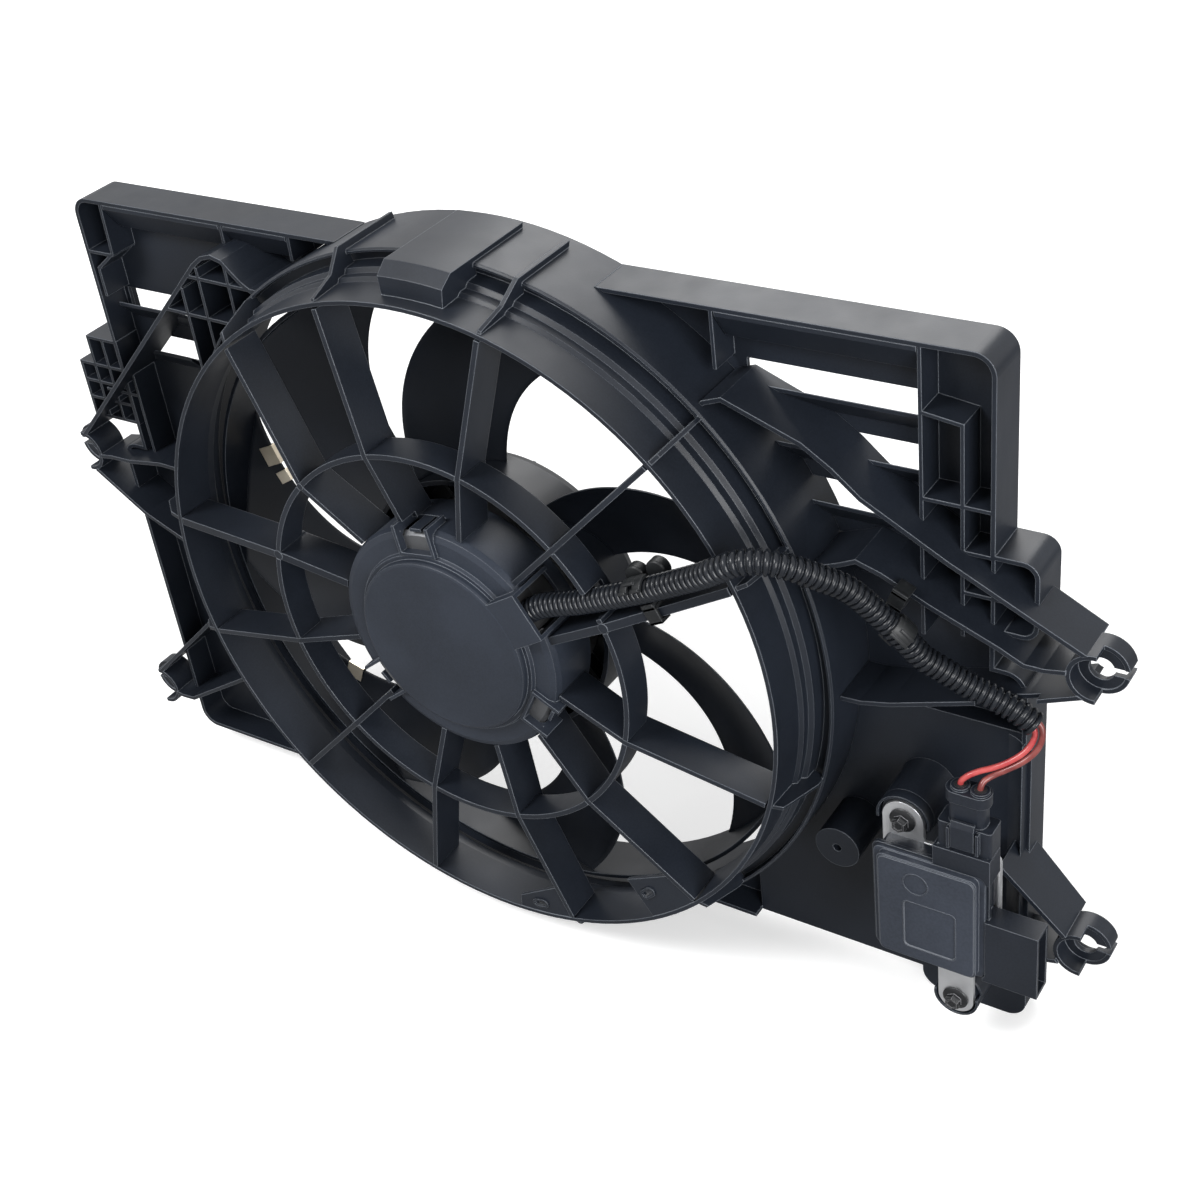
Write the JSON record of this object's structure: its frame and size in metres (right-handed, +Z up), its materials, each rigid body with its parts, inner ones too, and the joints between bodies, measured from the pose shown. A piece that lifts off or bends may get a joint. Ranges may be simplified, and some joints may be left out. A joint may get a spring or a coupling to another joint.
{
  "type": "radiator cooling fan",
  "caption": "Car radiator cooling fan: moulded shroud with ribs and fixing lugs, brushed motor in a cup, banded fan, speed control module and conduit.",
  "frame": {"origin": "the fan's axis where it meets the plane of the shroud's radiator side", "axes": "+X to the right seen from the engine side, +Y along the fan's axis towards the radiator, +Z up"},
  "size_m": [0.7311, 0.105, 0.453],
  "materials": {
    "shroud_panel": "moulded glass-filled nylon",
    "louvre_slats": "moulded glass-filled nylon",
    "module_bosses": "moulded glass-filled nylon",
    "fan_barrel": "moulded glass-filled nylon",
    "stator_spokes": "moulded glass-filled nylon",
    "tie_ring": "moulded glass-filled nylon",
    "motor_cup": "moulded glass-filled nylon",
    "lug_upper_left": "moulded glass-filled nylon",
    "lug_lower_left": "moulded glass-filled nylon",
    "lug_upper_right": "moulded glass-filled nylon",
    "lug_lower_right": "moulded glass-filled nylon",
    "motor_can": "zinc plated steel",
    "motor_end_plate": "zinc plated steel",
    "motor_magnets": "sintered ferrite",
    "fan_side_bearing": "ground steel",
    "end_bearing": "ground steel",
    "brush_card": "phenolic resin",
    "brushes": "carbon",
    "brush_springs": "spring steel",
    "lead_grommet": "moulded rubber",
    "motor_shaft": "ground steel",
    "armature_core": "laminated iron",
    "armature_windings": "enamelled copper wire",
    "commutator": "copper bars",
    "fan_hub": "moulded nylon",
    "fan_blades": "moulded nylon",
    "fan_band": "moulded nylon",
    "hub_insert": "turned steel",
    "shaft_nut": "zinc plated steel",
    "balance_clips": "spring steel",
    "conduit": "corrugated polypropylene",
    "wire_red": "insulated lead",
    "wire_brown": "insulated lead",
    "conduit_clip_inner": "moulded nylon",
    "conduit_clip_outer": "moulded nylon",
    "module_bracket": "pressed steel",
    "module_housing": "moulded plastic",
    "module_cover": "moulded plastic",
    "module_board": "circuit board",
    "module_screws": "black flange bolts",
    "socket_pins": "tinned brass",
    "lead_plug": "moulded plastic",
    "plug_latch": "moulded plastic",
    "wire_seals": "silicone rubber"
  },
  "bodies": {
    "shroud": {"shroud_panel": "shroud_panel", "louvre_slats": "louvre_slats", "module_bosses": "module_bosses", "fan_barrel": "fan_barrel", "stator_spokes": "stator_spokes", "tie_ring": "tie_ring", "motor_cup": "motor_cup", "lug_upper_left": "lug_upper_left", "lug_lower_left": "lug_lower_left", "lug_upper_right": "lug_upper_right", "lug_lower_right": "lug_lower_right", "motor_can": "motor_can", "motor_end_plate": "motor_end_plate", "motor_magnets": "motor_magnets", "fan_side_bearing": "fan_side_bearing", "end_bearing": "end_bearing", "brush_card": "brush_card", "brushes": "brushes", "brush_springs": "brush_springs", "lead_grommet": "lead_grommet", "conduit": "conduit", "wire_red": "wire_red", "wire_brown": "wire_brown", "conduit_clip_inner": "conduit_clip_inner", "conduit_clip_outer": "conduit_clip_outer", "module_bracket": "module_bracket", "module_housing": "module_housing", "module_cover": "module_cover", "module_board": "module_board", "module_screws": "module_screws", "socket_pins": "socket_pins", "lead_plug": "lead_plug", "plug_latch": "plug_latch", "wire_seals": "wire_seals"},
    "fan": {"motor_shaft": "motor_shaft", "armature_core": "armature_core", "armature_windings": "armature_windings", "commutator": "commutator", "fan_hub": "fan_hub", "fan_blades": "fan_blades", "fan_band": "fan_band", "hub_insert": "hub_insert", "shaft_nut": "shaft_nut", "balance_clips": "balance_clips"}
  },
  "joints": [
    {"name": "fan_spin", "type": "hinge", "parent": "shroud", "child": "fan", "pos_m": [0, 0, 0], "axis": [0, 1, 0], "continuous": true}
  ]
}
